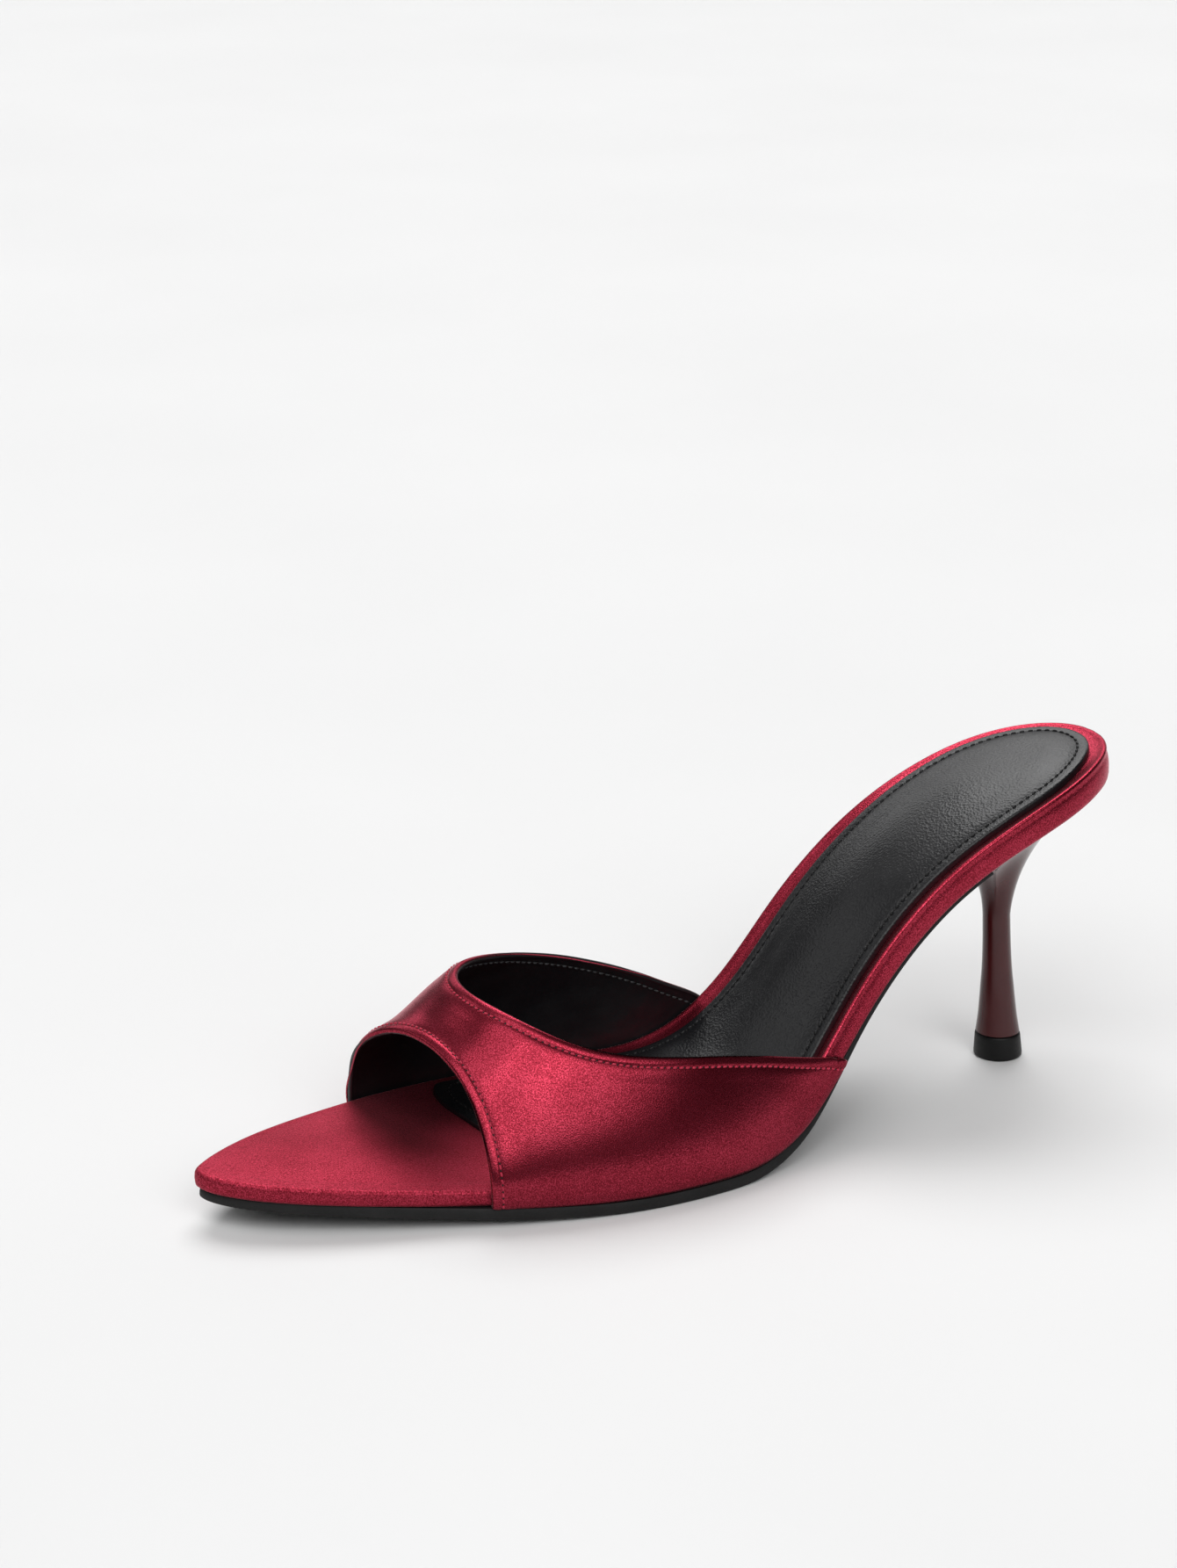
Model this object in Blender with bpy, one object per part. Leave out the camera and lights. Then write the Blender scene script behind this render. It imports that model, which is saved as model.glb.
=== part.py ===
"""Open-toe stiletto mule, left shoe, in metres with +Z up.

The shoe stands on its tread and its heel. The toe points to -X, the heel to +X,
and the outer (lateral) side of the foot is at -Y. Every layer is drawn flat, as a
pattern of station s along the footbed, offset y across it and height n above its
underside, and is then bent along the side profile of the last.
"""
import bmesh
import bpy
import numpy as np

MM = 0.001


def table(columns, rows):
    """A short table as a dictionary of named columns."""
    return dict(zip(columns.split(), np.array(rows, dtype=float).T))


# Driving dimensions, in millimetres
FOOTBED_LENGTH = 252.0
GAP = 0.3
TREAD_DEPTH = 2.3
WALL = 1.6
BREAST_SHARE = 0.822
HEEL_AXIS_X = 204.5
HEEL_LEAN = 0.05

# Side profile of the footbed's underside: slope in degrees at a share of its length from the toe
PROFILE = table("share slope", [
    (0.000, -5.0),
    (0.100, -4.8),
    (0.200, -4.4),
    (0.300, -3.2),
    (0.350, -1.2),
    (0.380, 0.0),
    (0.437, 0.0),
    (0.500, 19.4),
    (0.560, 41.5),
    (0.640, 50.0),
    (0.740, 40.0),
    (0.840, 25.0),
    (0.920, 16.0),
    (1.000, 8.0),
])

# Plan of the footbed: half widths of the outer and inner side
PLAN = table("share lateral medial", [
    (0.000, 0.0, 0.0),
    (0.010, 5.9, 3.9),
    (0.038, 12.0, 9.6),
    (0.084, 18.2, 16.4),
    (0.146, 24.3, 22.9),
    (0.222, 30.2, 28.9),
    (0.309, 35.4, 32.4),
    (0.402, 37.2, 32.1),
    (0.500, 33.6, 28.3),
    (0.598, 27.0, 24.2),
    (0.691, 24.0, 23.7),
    (0.778, 23.0, 24.0),
    (0.854, 23.2, 23.6),
    (0.916, 21.4, 21.4),
    (0.962, 16.2, 16.3),
    (0.990, 9.0, 9.1),
    (1.000, 0.0, 0.0),
])

# Footbed board: height of its underside and of its top above the profile
BOARD = table("share underside top", [
    (0.00, 0.2, 4.4),
    (0.20, 0.6, 4.6),
    (0.45, 0.7, 4.9),
    (0.60, 0.0, 5.4),
    (0.75, 0.0, 6.2),
    (1.00, 0.0, 7.4),
])

# Rim of the footbed: inset from the plan at a share of the thickness
RIM = table("inset height", [
    (0.8, 0.00),
    (0.2, 0.25),
    (0.0, 0.60),
    (0.1, 0.82),
    (0.5, 0.94),
    (1.6, 1.00),
])
SPRING = 0.60
MARGIN_GIRTH = 10.0
TOE_CROWN = 0.5

# Padded sock: margin to the footbed's plan on both sides
SOCK = table("share lateral medial", [
    (0.255, 4.0, 5.0),
    (0.450, 3.2, 6.0),
    (0.620, 2.6, 6.6),
    (0.760, 2.6, 5.6),
    (0.900, 2.6, 4.0),
    (1.000, 4.2, 4.2),
])
SOCK_START = 67.0
SOCK_CORNER = 3.5
SOCK_SLANT = 0.2
SLANT_LENGTH = 40.0
SOCK_RIM = 1.3
SOCK_EDGE = 0.5
SOCK_CROWN = 1.1

# Outsole: inset from the plan and depth of its lower face below the profile
OUTSOLE = table("share inset depth", [
    (0.00, 1.3, 2.3),
    (0.10, 1.0, 2.3),
    (0.18, 0.2, 2.3),
    (0.25, -1.0, 2.3),
    (0.40, -1.6, 2.3),
    (0.45, -1.6, 2.3),
    (0.50, -1.1, 2.2),
    (0.55, -0.2, 2.0),
    (0.65, 1.2, 1.5),
    (0.85, 1.4, 1.3),
])
OUTSOLE_BEVEL = 0.4
BEVEL_START = 0.75

# Lean of the vamp's walls, as a share of the footbed's slope
VAMP_LEAN = 0.3

# Arch of the vamp above the footbed's rim: rise and sideways place of its crown
ARCH = table("share rise crown", [
    (0.160, 18.0, 1.0),
    (0.188, 24.0, 1.0),
    (0.215, 27.4, 0.5),
    (0.243, 33.2, 0.0),
    (0.270, 38.1, 0.0),
    (0.310, 42.0, -0.5),
    (0.360, 44.5, -1.0),
    (0.420, 46.2, -2.0),
    (0.470, 44.8, -2.0),
    (0.530, 36.9, -1.0),
    (0.600, 23.9, 0.0),
    (0.660, 8.3, 0.0),
])

# Ribs of the vamp from its toe edge to its collar: station and girth angle at both ends.
# The girth runs from the outer rim (0) over the crown (90) to the inner rim (180), and
# the margins below the rims reach down to the outsole at -10 and 190
RIBS = table("front front_girth collar collar_girth", [
    (56.4, -10, 151.7, -10.0),
    (56.0, 0, 150.5, 0.0),
    (55.7, 13, 145.2, 10.2),
    (55.4, 25, 138.0, 19.2),
    (55.1, 34, 129.8, 25.3),
    (54.9, 41, 120.7, 28.6),
    (54.6, 47.5, 109.5, 31.0),
    (54.2, 55, 95.8, 35.0),
    (53.5, 64, 80.4, 42.9),
    (52.6, 74.5, 69.0, 58.4),
    (51.4, 86, 63.4, 81.5),
    (50.2, 97, 64.9, 104.5),
    (49.0, 107, 73.0, 120.4),
    (47.8, 117, 84.4, 130.2),
    (47.2, 128, 95.4, 138.0),
    (47.2, 139, 104.5, 143.9),
    (47.6, 150, 112.4, 148.3),
    (48.2, 161, 121.6, 152.2),
    (48.5, 170, 130.5, 158.4),
    (48.7, 176, 138.7, 168.3),
    (48.8, 180, 144.2, 180.0),
    (49.6, 190, 145.4, 190.0),
])

# Heel stem: radius at a height above the floor
STEM = table("height radius", [
    (6.2, 5.2),
    (10.5, 4.6),
    (14.2, 4.25),
    (17.8, 3.95),
    (21.4, 3.65),
    (25.0, 3.45),
    (30.5, 3.3),
    (36.0, 3.25),
])
SEAT_INSET = 2.0
FLARE_BACK = 0.58
FLARE_FRONT = 0.9
FLARE_LEAN = 0.08

# Top piece: radius at a height above the floor
LIFT = table("height radius", [
    (0.0, 5.4),
    (0.4, 5.7),
    (5.5, 5.35),
    (5.9, 5.15),
])

# Mesh steps
PROFILE_STEPS = 1008
STATIONS = 52
OUTSOLE_STATIONS = 42
SOCK_STATIONS = 44
TOP_COLUMNS = 6
VAMP_STEPS = 20
VAMP_RIBS = 43
NUDGE = 0.05
HEEL_SIDES = 36
SEAT_STEPS = 60
BREAST_STEPS = 20
FLARE_STEPS = 9
LIFT_SIDES = 32
SHARP_ANGLE = 40.0


def spline(xs, ys):
    """Natural cubic spline through a table's rows."""
    steps = np.diff(xs)
    slopes = np.diff(ys) / steps
    matrix = np.eye(len(xs))
    right = np.zeros(len(xs))
    for row in range(1, len(xs) - 1):
        matrix[row, row - 1:row + 2] = (
            steps[row - 1],
            2 * (steps[row - 1] + steps[row]),
            steps[row],
        )
        right[row] = 6 * (slopes[row] - slopes[row - 1])
    bends = np.linalg.solve(matrix, right)

    def value(x):
        i = np.clip(np.searchsorted(xs, x, side="right") - 1, 0, len(xs) - 2)
        d = x - xs[i]
        first = slopes[i] - steps[i] * (2 * bends[i] + bends[i + 1]) / 6
        cubic = (bends[i + 1] - bends[i]) / (6 * steps[i])
        return ys[i] + d * (first + d * (bends[i] / 2 + d * cubic))

    return value


def steady(xs, ys):
    """Smooth curve through a table's rows that never overshoots them."""
    steps = np.diff(xs)
    slopes = np.diff(ys) / steps
    tangents = np.concatenate(([slopes[0]], np.zeros(len(xs) - 2), [slopes[-1]]))
    for row in range(1, len(xs) - 1):
        before, after = slopes[row - 1], slopes[row]
        if before * after > 0:
            tangents[row] = 2 * before * after / (before + after)

    def value(x):
        i = np.clip(np.searchsorted(xs, x, side="right") - 1, 0, len(xs) - 2)
        t = np.clip((x - xs[i]) / steps[i], 0, 1)
        rise = t * t * (3 - 2 * t)
        start = t * (1 - t) ** 2
        end = -t * t * (1 - t)
        return (ys[i] * (1 - rise) + ys[i + 1] * rise
                + steps[i] * (start * tangents[i] + end * tangents[i + 1]))

    return value


def station_angle(share):
    """Half-circle angle whose cosine spacing rounds both ends of the plan."""
    return np.arccos(np.clip(1 - 2 * np.asarray(share, dtype=float), -1, 1))


lateral_curve = spline(station_angle(PLAN["share"]), PLAN["lateral"])
medial_curve = spline(station_angle(PLAN["share"]), PLAN["medial"])
slope_curve = steady(PROFILE["share"], PROFILE["slope"])
underside_curve = steady(BOARD["share"], BOARD["underside"])
top_curve = steady(BOARD["share"], BOARD["top"])
rise_curve = spline(ARCH["share"], ARCH["rise"])
crown_curve = steady(ARCH["share"], ARCH["crown"])
rib_curves = {name: spline(np.arange(len(RIBS[name])), RIBS[name]) for name in RIBS}
rim_inset = steady(RIM["height"], RIM["inset"])
sock_lateral = steady(SOCK["share"], SOCK["lateral"])
sock_medial = steady(SOCK["share"], SOCK["medial"])
outsole_inset = steady(OUTSOLE["share"], OUTSOLE["inset"])
outsole_depth = steady(OUTSOLE["share"], OUTSOLE["depth"])


def lateral(s):
    return lateral_curve(station_angle(s / FOOTBED_LENGTH))


def medial(s):
    return medial_curve(station_angle(s / FOOTBED_LENGTH))


def underside(s):
    return underside_curve(s / FOOTBED_LENGTH)


def top(s):
    return top_curve(s / FOOTBED_LENGTH)


def rim_height(s, share):
    """Height of the footbed's rim at a share of its thickness."""
    return underside(s) + share * (top(s) - underside(s))


def trace_profile():
    """Stations, places and slopes along the footbed's underside, tread just above the floor."""
    s = np.linspace(0, FOOTBED_LENGTH, PROFILE_STEPS + 1)
    slope = np.radians(slope_curve(s / FOOTBED_LENGTH))
    step = np.diff(s)
    middle = (slope[1:] + slope[:-1]) / 2
    x = np.concatenate(([0], np.cumsum(np.cos(middle) * step)))
    z = np.concatenate(([0], np.cumsum(np.sin(middle) * step)))
    return s, x, z - z.min() + TREAD_DEPTH, slope


TRACE_S, TRACE_X, TRACE_Z, TRACE_SLOPE = trace_profile()


def bend(s, y, n):
    """Bend pattern points along the profile: rows of x, y, z in millimetres."""
    s, y, n = np.broadcast_arrays(*(np.asarray(part, dtype=float) for part in (s, y, n)))
    inside = np.clip(s, 0, FOOTBED_LENGTH)
    slope = np.interp(inside, TRACE_S, TRACE_SLOPE)
    x = np.interp(inside, TRACE_S, TRACE_X) + (s - inside) * np.cos(slope)
    z = np.interp(inside, TRACE_S, TRACE_Z) + (s - inside) * np.sin(slope)
    return np.stack((x - n * np.sin(slope), y, z + n * np.cos(slope)), axis=-1)


class Shell:
    """Points and faces of one closed surface."""

    def __init__(self):
        self.points = []
        self.faces = []

    def add(self, places):
        """Add rows of points and give their numbers."""
        first = len(self.points)
        self.points.extend(map(tuple, np.atleast_2d(places)))
        return list(range(first, len(self.points)))

    def bridge(self, lower, upper):
        """Faces between two rings that run counterclockwise seen from above."""
        for k in range(len(lower)):
            after = (k + 1) % len(lower)
            self.faces.append((lower[k], lower[after], upper[after], upper[k]))

    def strip(self, row, after, flip):
        """Faces between two open rows; a row of one point makes a fan."""
        for k in range(max(len(row), len(after)) - 1):
            corners = [row[min(k, len(row) - 1)], after[min(k, len(after) - 1)]]
            if len(after) > 1:
                corners.append(after[k + 1])
            if len(row) > 1:
                corners.append(row[k + 1])
            self.faces.append(tuple(corners[::-1] if flip else corners))


def inward(width, s, side):
    """Inward direction of one side of the plan, as parts along s and across."""
    near = np.clip(s, NUDGE, FOOTBED_LENGTH - NUDGE)
    slope = (width(near + NUDGE / 2) - width(near - NUDGE / 2)) / NUDGE
    length = np.hypot(slope, 1)
    return slope / length, -side / length


def plan_ring(stations, outer_inset, inner_inset=None, end_tip=True):
    """Pattern points of the plan's outline, moved inwards, counterclockwise from the toe end."""
    inner_inset = outer_inset if inner_inset is None else inner_inset
    outer_inset = np.broadcast_to(outer_inset, stations.shape)
    inner_inset = np.broadcast_to(inner_inset, stations.shape)
    along, across = inward(lateral, stations, -1)
    outer_s = stations + along * outer_inset
    outer_y = -lateral(stations) + across * outer_inset
    along, across = inward(medial, stations, 1)
    inner_s = stations + along * inner_inset
    inner_y = medial(stations) + across * inner_inset
    outer_y[0] = 0.0
    if end_tip:
        outer_y[-1] = 0.0
    else:
        outer_s[-1] = stations[-1]
        inner_s[-1] = stations[-1]
    back = slice(-2, 0, -1) if end_tip else slice(None, 0, -1)
    return np.concatenate((outer_s, inner_s[back])), np.concatenate((outer_y, inner_y[back]))


def cover(shell, ring, pattern, columns, height, flip):
    """Close a ring with rows across it, at the height that a function gives."""
    s, y = pattern
    count = len(ring)
    rows = [[ring[0]]]
    for k in range(1, (count + 1) // 2):
        partner = count - k
        share = np.arange(1, columns) / columns
        mid_s = s[k] + (s[partner] - s[k]) * share
        mid_y = y[k] + (y[partner] - y[k]) * share
        middle = shell.add(bend(mid_s, mid_y, height(mid_s, share))) if columns > 1 else []
        rows.append([ring[k]] + middle + [ring[partner]])
    if count % 2 == 0:
        rows.append([ring[count // 2]])
    for row, after in zip(rows, rows[1:]):
        shell.strip(row, after, flip)


def cosine_stations(start, end, count):
    """Stations that crowd towards both ends."""
    turn = np.linspace(0, np.pi, count + 1)
    return start + (end - start) * (1 - np.cos(turn)) / 2


def build_footbed():
    shell = Shell()
    stations = cosine_stations(0, FOOTBED_LENGTH, STATIONS)
    rings = []
    patterns = []
    for inset, height in zip(RIM["inset"], RIM["height"]):
        s, y = plan_ring(stations, inset)
        rings.append(shell.add(bend(s, y, rim_height(s, height))))
        patterns.append((s, y))
    for lower, upper in zip(rings, rings[1:]):
        shell.bridge(lower, upper)

    def crown(s, share):
        fade = np.clip(1 - s / SOCK_START, 0, 1)
        return top(s) + TOE_CROWN * fade * 4 * share * (1 - share)

    cover(shell, rings[0], patterns[0], 1, None, True)
    cover(shell, rings[-1], patterns[-1], TOP_COLUMNS, crown, False)
    return shell


def build_outsole():
    shell = Shell()
    last_turn = station_angle(BREAST_SHARE)
    stations = FOOTBED_LENGTH * (1 - np.cos(np.linspace(0, last_turn, OUTSOLE_STATIONS + 1))) / 2
    share = stations / FOOTBED_LENGTH
    rings = []
    patterns = []
    for extra, depth in ((OUTSOLE_BEVEL, 1.0), (0.0, BEVEL_START), (0.0, 0.0)):
        s, y = plan_ring(stations, outsole_inset(share) + extra, end_tip=False)
        upper_face = underside(s) - GAP
        lower_face = -outsole_depth(s / FOOTBED_LENGTH)
        rings.append(shell.add(bend(s, y, upper_face + (lower_face - upper_face) * depth)))
        patterns.append((s, y))
    for lower, upper in zip(rings, rings[1:]):
        shell.bridge(lower, upper)
    cover(shell, rings[0], patterns[0], 1, None, True)
    cover(shell, rings[-1], patterns[-1], 1, None, False)
    return shell


def sock_ring(stations, inset):
    """Outline of the sock: the footbed's plan less a margin, with a blunt, slanted front end."""
    share = stations / FOOTBED_LENGTH
    s, y = plan_ring(stations, sock_lateral(share) + inset, sock_medial(share) + inset)
    s[0] = SOCK_START + inset
    from_front = np.clip((s - s[0]) / SOCK_CORNER, 0, 1)
    y = y * np.sqrt(1 - (1 - from_front) ** 2)
    fade = np.clip(1 - (s - s[0]) / SLANT_LENGTH, 0, 1) ** 2
    return s - SOCK_SLANT * y * fade, y


def build_insole():
    shell = Shell()
    stations = cosine_stations(SOCK_START, FOOTBED_LENGTH, SOCK_STATIONS)
    rings = []
    patterns = []
    for inset, height in ((0.0, 0.0), (0.0, SOCK_RIM - SOCK_EDGE), (SOCK_EDGE, SOCK_RIM)):
        s, y = sock_ring(stations, inset)
        rings.append(shell.add(bend(s, y, top(s) + GAP + height)))
        patterns.append((s, y))
    for lower, upper in zip(rings, rings[1:]):
        shell.bridge(lower, upper)

    def crown(s, share):
        return top(s) + GAP + SOCK_RIM + SOCK_CROWN * np.sqrt(4 * share * (1 - share))

    cover(shell, rings[0], patterns[0], 1, None, True)
    cover(shell, rings[-1], patterns[-1], TOP_COLUMNS, crown, False)
    return shell


def vamp_surface(s, girth):
    """Outer face of the vamp at a station and girth angle."""
    share = s / FOOTBED_LENGTH
    spring = rim_height(s, SPRING)
    crown = crown_curve(share)
    angle = np.radians(np.clip(girth, 0, 180))
    outer_half = lateral(s) + GAP + WALL + crown
    inner_half = medial(s) + GAP + WALL - crown
    y = crown - np.where(girth < 90, outer_half, inner_half) * np.cos(angle)
    below = np.clip(np.maximum(-girth, girth - 180) / MARGIN_GIRTH, 0, 1)
    tuck = np.where(below > 0, rim_inset(SPRING * (1 - below)), 0)
    foot = bend(s, y + np.where(girth < 90, tuck, -tuck), rim_height(s, SPRING * (1 - below)))
    lift = (rise_curve(share) + top(s) - spring) * np.sin(angle)
    lean = VAMP_LEAN * np.interp(s, TRACE_S, TRACE_SLOPE)
    return foot + np.stack((-lift * np.sin(lean), 0 * lift, lift * np.cos(lean)), axis=-1)


def vamp_grids():
    """Outer and inner face of the vamp, as grids from the toe edge to the collar."""
    ribs = np.linspace(0, len(RIBS["front"]) - 1, VAMP_RIBS)
    share = np.linspace(0, 1, VAMP_STEPS + 1)[:, None]
    ends = {name: curve(ribs) for name, curve in rib_curves.items()}
    s = ends["front"] + (ends["collar"] - ends["front"]) * share
    girth = ends["front_girth"] + (ends["collar_girth"] - ends["front_girth"]) * share
    outer = vamp_surface(s, girth)
    along = vamp_surface(s + NUDGE, girth) - vamp_surface(s - NUDGE, girth)
    around = vamp_surface(s, girth + NUDGE) - vamp_surface(s, girth - NUDGE)
    normal = np.cross(along, around)
    normal /= np.linalg.norm(normal, axis=-1)[..., None]
    return outer, outer - normal * WALL


def build_upper():
    shell = Shell()
    outer, inner = vamp_grids()
    outer_rows = [shell.add(row) for row in outer]
    inner_rows = [shell.add(row) for row in inner]
    for row, after in zip(outer_rows, outer_rows[1:]):
        shell.strip(row, after, True)
    for row, after in zip(inner_rows, inner_rows[1:]):
        shell.strip(row, after, False)
    shell.strip(outer_rows[0], inner_rows[0], False)
    shell.strip(outer_rows[-1], inner_rows[-1], True)
    for end in (0, -1):
        outer_edge = [row[end] for row in outer_rows]
        inner_edge = [row[end] for row in inner_rows]
        shell.strip(outer_edge, inner_edge, end == 0)
    return shell


def seat_ring(turns):
    """Points of the heel seat under the footbed, at given angles around the heel's axis."""
    breast = BREAST_SHARE * FOOTBED_LENGTH + GAP
    stations = cosine_stations(breast, FOOTBED_LENGTH - SEAT_INSET, SEAT_STEPS)
    room = (stations - breast) * (FOOTBED_LENGTH - breast) / (stations[-1] - breast) + breast
    across = np.linspace(-1, 1, BREAST_STEPS + 1)[1:-1]
    outer_side = np.clip(lateral(room) - SEAT_INSET, 0, None)
    inner_side = np.clip(medial(room) - SEAT_INSET, 0, None)
    front = np.where(across < 0, outer_side[0], inner_side[0]) * across
    s = np.concatenate((stations, stations[-2::-1], np.full(len(front), breast)))
    y = np.concatenate((-outer_side, inner_side[-2::-1], -front))
    places = bend(s, y, -GAP)
    angle = np.unwrap(np.arctan2(places[:, 1], places[:, 0] - HEEL_AXIS_X))
    order = np.argsort(np.mod(angle, 2 * np.pi))
    sorted_angle = np.mod(angle, 2 * np.pi)[order]
    wrapped = (sorted_angle, s[order], y[order])
    ring_s = np.interp(turns, wrapped[0], wrapped[1], period=2 * np.pi)
    ring_y = np.interp(turns, wrapped[0], wrapped[2], period=2 * np.pi)
    return bend(ring_s, ring_y, -GAP)


def circle(turns, radius, height):
    """Level circle around the heel's axis, which leans forward a little."""
    return np.stack((
        HEEL_AXIS_X - HEEL_LEAN * height + radius * np.cos(turns),
        radius * np.sin(turns),
        np.full(len(turns), height),
    ), axis=-1)


def build_heel():
    shell = Shell()
    turns = np.arange(HEEL_SIDES) * 2 * np.pi / HEEL_SIDES
    rings = [circle(turns, radius, height) for height, radius in zip(STEM["height"], STEM["radius"])]
    start = rings[-1]
    seat = seat_ring(turns)
    flare = FLARE_BACK + (FLARE_FRONT - FLARE_BACK) * ((1 - np.cos(turns)) / 2) ** 2
    lean = np.full(HEEL_SIDES, FLARE_LEAN)
    knee = start + (seat - start) * np.stack((lean, lean, flare), axis=-1)
    for share in np.arange(1, FLARE_STEPS + 1) / FLARE_STEPS:
        rings.append((1 - share) ** 2 * start + 2 * share * (1 - share) * knee + share ** 2 * seat)
    numbers = [shell.add(ring) for ring in rings]
    for lower, upper in zip(numbers, numbers[1:]):
        shell.bridge(lower, upper)
    close_ends(shell, numbers)
    return shell


def close_ends(shell, numbers):
    """Close a stack of rings with rows across its first and last ring."""
    count = len(numbers[0])
    for ring, flip in ((numbers[0], True), (numbers[-1], False)):
        rows = [[ring[0]]]
        for k in range(1, count // 2):
            rows.append([ring[k], ring[count - k]])
        rows.append([ring[count // 2]])
        for row, after in zip(rows, rows[1:]):
            shell.strip(row, after, not flip)


def build_top_piece():
    shell = Shell()
    turns = np.arange(LIFT_SIDES) * 2 * np.pi / LIFT_SIDES
    numbers = [shell.add(circle(turns, radius, height))
               for height, radius in zip(LIFT["height"], LIFT["radius"])]
    for lower, upper in zip(numbers, numbers[1:]):
        shell.bridge(lower, upper)
    close_ends(shell, numbers)
    return shell


def make_material(name, colour, roughness):
    material = bpy.data.materials.new(name)
    material.use_nodes = True
    shader = material.node_tree.nodes["Principled BSDF"]
    shader.inputs["Base Color"].default_value = (*colour, 1.0)
    shader.inputs["Roughness"].default_value = roughness
    shader.inputs["Metallic"].default_value = 0.0
    return material


def make_object(name, shell, colour, roughness, parent):
    mesh = bpy.data.meshes.new(name)
    mesh.from_pydata((np.array(shell.points) * MM).tolist(), [], shell.faces)
    work = bmesh.new()
    work.from_mesh(mesh)
    bmesh.ops.recalc_face_normals(work, faces=work.faces)
    bmesh.ops.triangulate(work, faces=work.faces)
    work.to_mesh(mesh)
    work.free()
    mesh.shade_smooth()
    mesh.set_sharp_from_angle(angle=np.radians(SHARP_ANGLE))
    mesh.materials.append(make_material(name, colour, roughness))
    piece = bpy.data.objects.new(name, mesh)
    bpy.context.collection.objects.link(piece)
    piece.parent = parent
    return piece


def stand_on_origin(root, pieces):
    """Move the shoe so that the middle of its underside is at the origin."""
    corners = np.concatenate([[vertex.co[:] for vertex in piece.data.vertices] for piece in pieces])
    middle = (corners.min(axis=0) + corners.max(axis=0)) / 2
    root.location = (-middle[0], -middle[1], 0.0)


def main():
    for old in list(bpy.data.objects):
        bpy.data.objects.remove(old)
    root = bpy.data.objects.new("shoe_root", None)
    bpy.context.collection.objects.link(root)
    satin = (0.20, 0.012, 0.030)
    pieces = [
        make_object("outsole", build_outsole(), (0.012, 0.012, 0.013), 0.6, root),
        make_object("footbed", build_footbed(), satin, 0.45, root),
        make_object("insole", build_insole(), (0.015, 0.015, 0.017), 0.45, root),
        make_object("upper", build_upper(), satin, 0.45, root),
        make_object("heel", build_heel(), (0.055, 0.006, 0.010), 0.08, root),
        make_object("top_piece", build_top_piece(), (0.008, 0.008, 0.009), 0.35, root),
    ]
    stand_on_origin(root, pieces)


if __name__ == "__main__":
    main()
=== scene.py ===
"""Looks of an open-toe stiletto mule, left shoe, built around its solids.

Sizes are in millimetres in the shoe's own pattern: station s along the footbed from the
toe, offset y across it (the outer side is negative) and height n above its underside.
SHIFT carries the bent pattern into the frame of the part.
"""

import bmesh
import bpy
import numpy as np
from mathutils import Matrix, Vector


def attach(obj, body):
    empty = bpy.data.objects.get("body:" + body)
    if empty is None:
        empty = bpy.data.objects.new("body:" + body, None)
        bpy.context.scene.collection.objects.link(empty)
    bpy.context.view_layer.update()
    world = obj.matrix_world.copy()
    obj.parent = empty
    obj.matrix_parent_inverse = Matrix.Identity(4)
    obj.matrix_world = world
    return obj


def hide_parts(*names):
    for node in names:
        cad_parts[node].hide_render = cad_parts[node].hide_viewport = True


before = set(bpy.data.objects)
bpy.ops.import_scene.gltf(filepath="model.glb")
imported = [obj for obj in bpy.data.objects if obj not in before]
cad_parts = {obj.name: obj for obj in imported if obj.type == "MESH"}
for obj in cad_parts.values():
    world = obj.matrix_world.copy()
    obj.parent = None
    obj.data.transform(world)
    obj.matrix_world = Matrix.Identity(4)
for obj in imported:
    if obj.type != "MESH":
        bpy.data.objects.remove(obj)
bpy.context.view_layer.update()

MM = 0.001


def table(columns, rows):
    """A short table as a dictionary of named columns."""
    return dict(zip(columns.split(), np.array(rows, dtype=float).T))


# Sizes of the solids
SHIFT = np.array((-114.567, 2.249, 0.0))
FOOTBED_LENGTH = 252.0
GAP = 0.3
TREAD_DEPTH = 2.3
WALL = 1.6
BREAST_SHARE = 0.822
HEEL_AXIS_X = 204.5
HEEL_LEAN = 0.05

# Side profile of the footbed's underside: slope in degrees at a share of its length from the toe
PROFILE = table("share slope", [
    (0.000, -5.0),
    (0.100, -4.8),
    (0.200, -4.4),
    (0.300, -3.2),
    (0.350, -1.2),
    (0.380, 0.0),
    (0.437, 0.0),
    (0.500, 19.4),
    (0.560, 41.5),
    (0.640, 50.0),
    (0.740, 40.0),
    (0.840, 25.0),
    (0.920, 16.0),
    (1.000, 8.0),
])

# Plan of the footbed: half widths of the outer and inner side
PLAN = table("share lateral medial", [
    (0.000, 0.0, 0.0),
    (0.010, 5.9, 3.9),
    (0.038, 12.0, 9.6),
    (0.084, 18.2, 16.4),
    (0.146, 24.3, 22.9),
    (0.222, 30.2, 28.9),
    (0.309, 35.4, 32.4),
    (0.402, 37.2, 32.1),
    (0.500, 33.6, 28.3),
    (0.598, 27.0, 24.2),
    (0.691, 24.0, 23.7),
    (0.778, 23.0, 24.0),
    (0.854, 23.2, 23.6),
    (0.916, 21.4, 21.4),
    (0.962, 16.2, 16.3),
    (0.990, 9.0, 9.1),
    (1.000, 0.0, 0.0),
])

# Footbed board: height of its underside and of its top above the profile
BOARD = table("share underside top", [
    (0.00, 0.2, 4.4),
    (0.20, 0.6, 4.6),
    (0.45, 0.7, 4.9),
    (0.60, 0.0, 5.4),
    (0.75, 0.0, 6.2),
    (1.00, 0.0, 7.4),
])

# Rim of the solid footbed: inset from the plan at a share of the thickness
RIM = table("inset height", [
    (0.8, 0.00),
    (0.2, 0.25),
    (0.0, 0.60),
    (0.1, 0.82),
    (0.5, 0.94),
    (1.6, 1.00),
])

# Height on the rim from which the vamp springs, and degrees of girth of its margin below that
SPRING = 0.60
MARGIN_GIRTH = 10.0

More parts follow.
